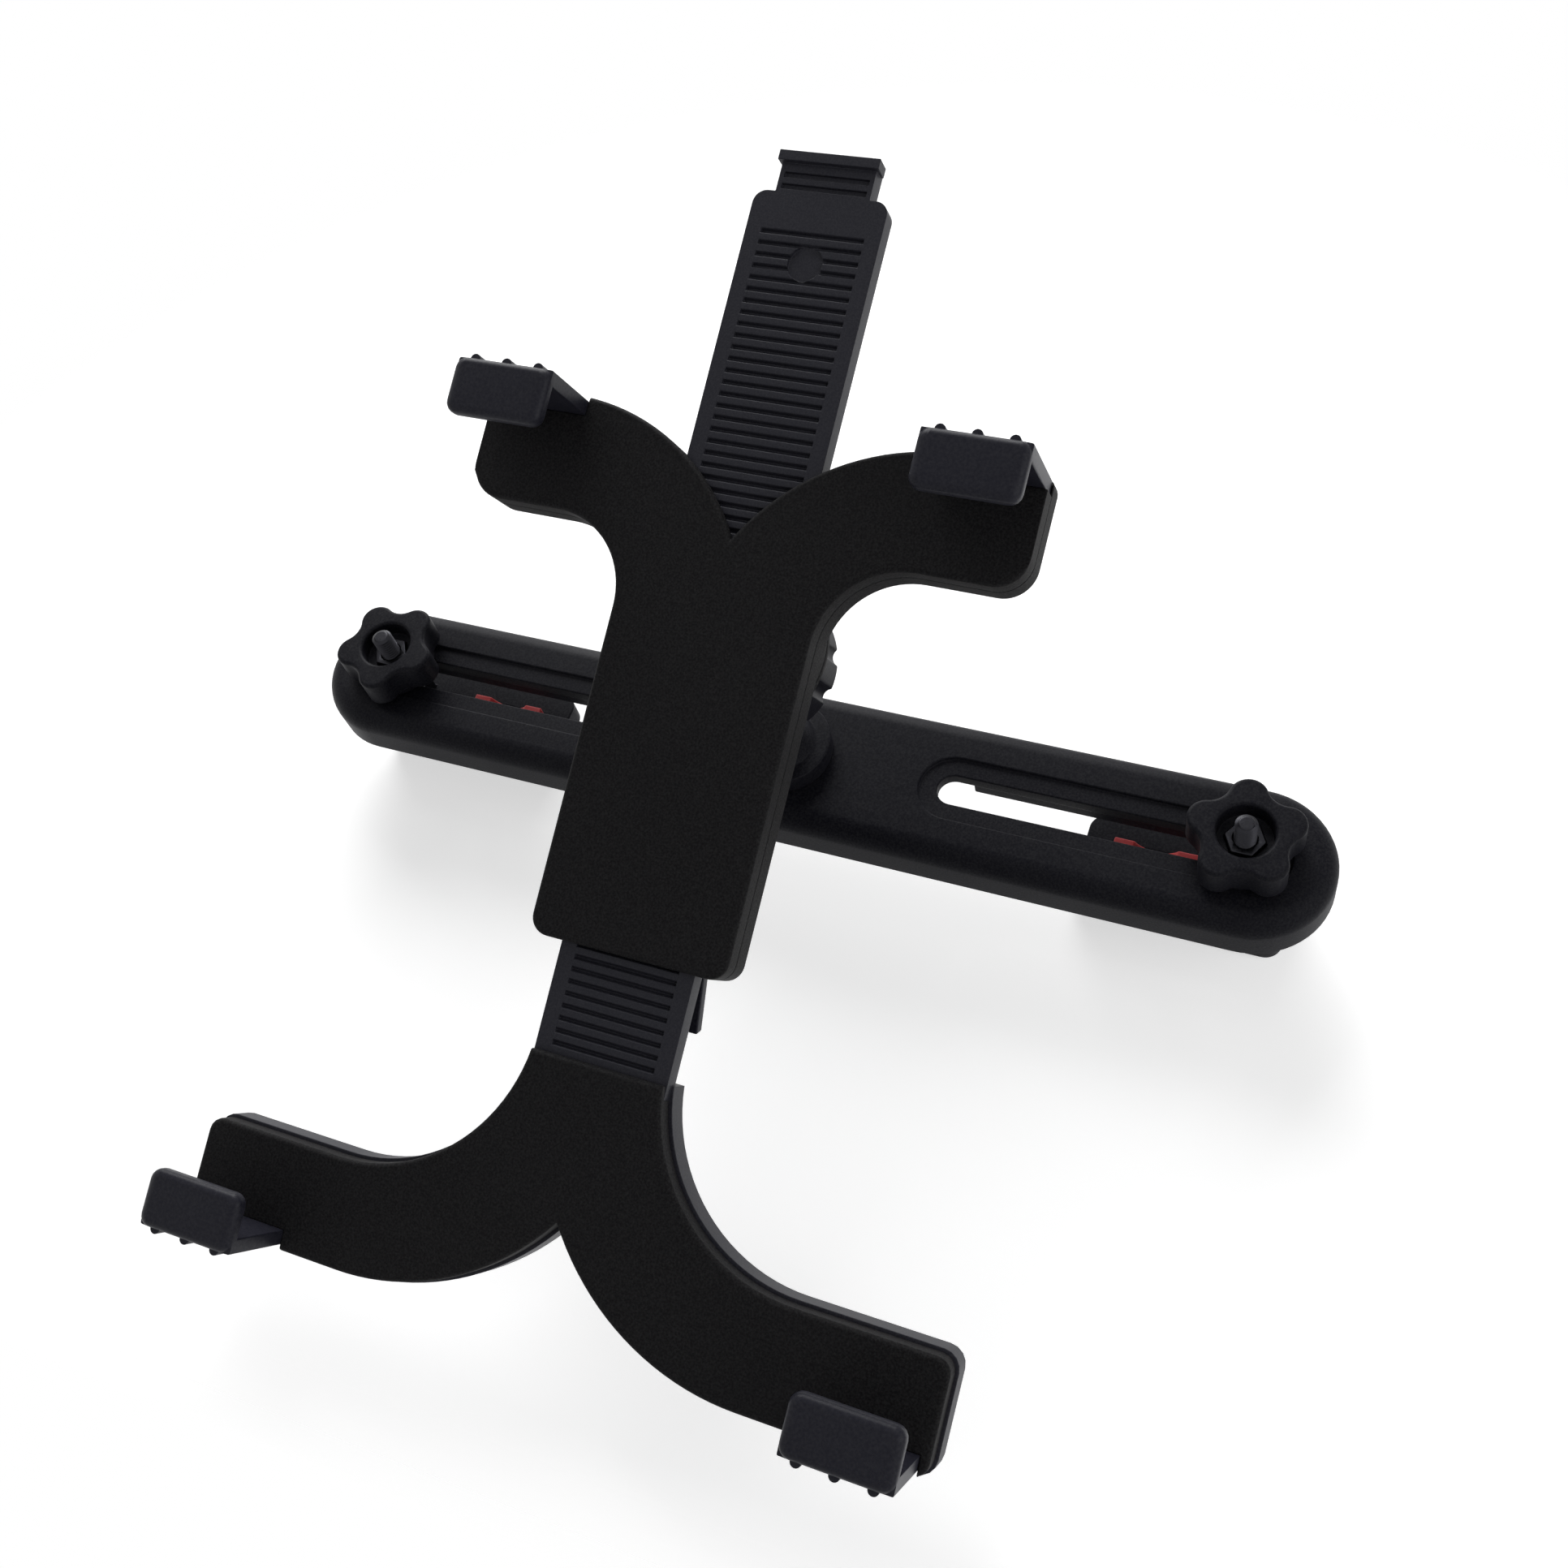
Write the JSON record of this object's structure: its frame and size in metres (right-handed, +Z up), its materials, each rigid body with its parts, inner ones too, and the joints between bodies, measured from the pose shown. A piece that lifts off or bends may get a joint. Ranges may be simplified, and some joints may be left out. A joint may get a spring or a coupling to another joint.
{
  "type": "headrest tablet mount",
  "caption": "Slotted crossbar that clamps to two headrest posts and carries a tilting, turning ratchet tablet holder with hooked arms",
  "frame": {"origin": "midway between the two headrest post axes at the middle of the clamp height", "axes": "+X along the crossbar to the right as the rear passenger sees it, +Y towards the seat in front, +Z up along the posts"},
  "size_m": [0.258, 0.1384, 0.2383],
  "materials": {
    "shell_plastic": "fine matte grain, moulded",
    "strap_plastic": "satin moulded",
    "bar_plastic": "satin moulded",
    "hook_plastic": "smooth semi-matte moulded",
    "black_steel": "black zinc plated steel",
    "red_rubber": "matte moulded rubber"
  },
  "bodies": {
    "crossbar": {"crossbar": "bar_plastic", "ball_post": "bar_plastic", "post_screws": "black_steel"},
    "cup": {"friction_cup": "strap_plastic"},
    "socket": {"socket_housing": "bar_plastic"},
    "ring": {"lock_ring": "bar_plastic"},
    "holder": {"rear_cover": "shell_plastic", "front_cover": "shell_plastic", "cover_screws": "black_steel", "upper_left_hook": "hook_plastic", "upper_right_hook": "hook_plastic", "lever_pin": "black_steel", "lever_spring": "black_steel", "retainer_ring": "shell_plastic", "retainer_screws": "black_steel"},
    "strap": {"strap_base": "strap_plastic", "base_panel": "shell_plastic", "panel_screws": "black_steel", "lower_left_hook": "hook_plastic", "lower_right_hook": "hook_plastic"},
    "lever": {"release_lever": "hook_plastic"},
    "left_carriage": {"left_washer": "black_steel"},
    "right_carriage": {"right_washer": "black_steel"},
    "left_knob_body": {"left_knob": "bar_plastic", "left_nut": "black_steel"},
    "right_knob_body": {"right_knob": "bar_plastic", "right_nut": "black_steel"},
    "left_jaw_body": {"left_jaw": "bar_plastic", "left_pad": "red_rubber", "left_bolt": "black_steel"},
    "right_jaw_body": {"right_jaw": "bar_plastic", "right_pad": "red_rubber", "right_bolt": "black_steel"}
  },
  "joints": [
    {"name": "ball_tilt", "type": "hinge", "parent": "crossbar", "child": "cup", "pos_m": [0, -0.0583, 0], "axis": [1, 0, 0], "range_deg": [-45, 5]},
    {"name": "ball_pan", "type": "hinge", "parent": "cup", "child": "socket", "pos_m": [0, -0.0583, 0], "axis": [0, 0, 1], "range_deg": [-20, 20]},
    {"name": "ring_turn", "type": "hinge", "parent": "socket", "child": "ring", "pos_m": [0, -0.0583, 0], "axis": [0, 0.9205, 0.3907], "range_deg": [-60, 0]},
    {"name": "holder_turn", "type": "hinge", "parent": "socket", "child": "holder", "pos_m": [0, -0.0583, 0], "axis": [0, 0.9205, 0.3907], "continuous": true},
    {"name": "strap_slide", "type": "slide", "parent": "holder", "child": "strap", "axis": [0, -0.3907, 0.9205], "range_m": [-0.06656, 0.02048]},
    {"name": "lever_press", "type": "hinge", "parent": "holder", "child": "lever", "pos_m": [0, -0.05736, -0.04957], "axis": [1, 0, 0], "range_deg": [-6, 0], "stiffness_Nm_per_rad": 0.15, "springref_deg": 5.73},
    {"name": "left_clamp_slide", "type": "slide", "parent": "crossbar", "child": "left_carriage", "axis": [1, 0, 0], "range_m": [0, 0.035]},
    {"name": "left_jaw_draw", "type": "slide", "parent": "left_carriage", "child": "left_jaw_body", "axis": [0, 1, 0], "range_m": [-0.0024, 0.0024]},
    {"name": "left_knob_turn", "type": "hinge", "parent": "left_carriage", "child": "left_knob_body", "pos_m": [-0.1085, -0.0235, 0], "axis": [0, 1, 0], "range_deg": [-1080, 1080]},
    {"name": "right_clamp_slide", "type": "slide", "parent": "crossbar", "child": "right_carriage", "axis": [1, 0, 0], "range_m": [-0.035, 0]},
    {"name": "right_jaw_draw", "type": "slide", "parent": "right_carriage", "child": "right_jaw_body", "axis": [0, 1, 0], "range_m": [-0.0024, 0.0024]},
    {"name": "right_knob_turn", "type": "hinge", "parent": "right_carriage", "child": "right_knob_body", "pos_m": [0.1085, -0.0235, 0], "axis": [0, 1, 0], "range_deg": [-1080, 1080]}
  ],
  "couplings": [
    {"joint": "left_knob_turn", "follows": "left_jaw_draw", "rad_per_m": 7854},
    {"joint": "right_knob_turn", "follows": "right_jaw_draw", "rad_per_m": 7854}
  ]
}
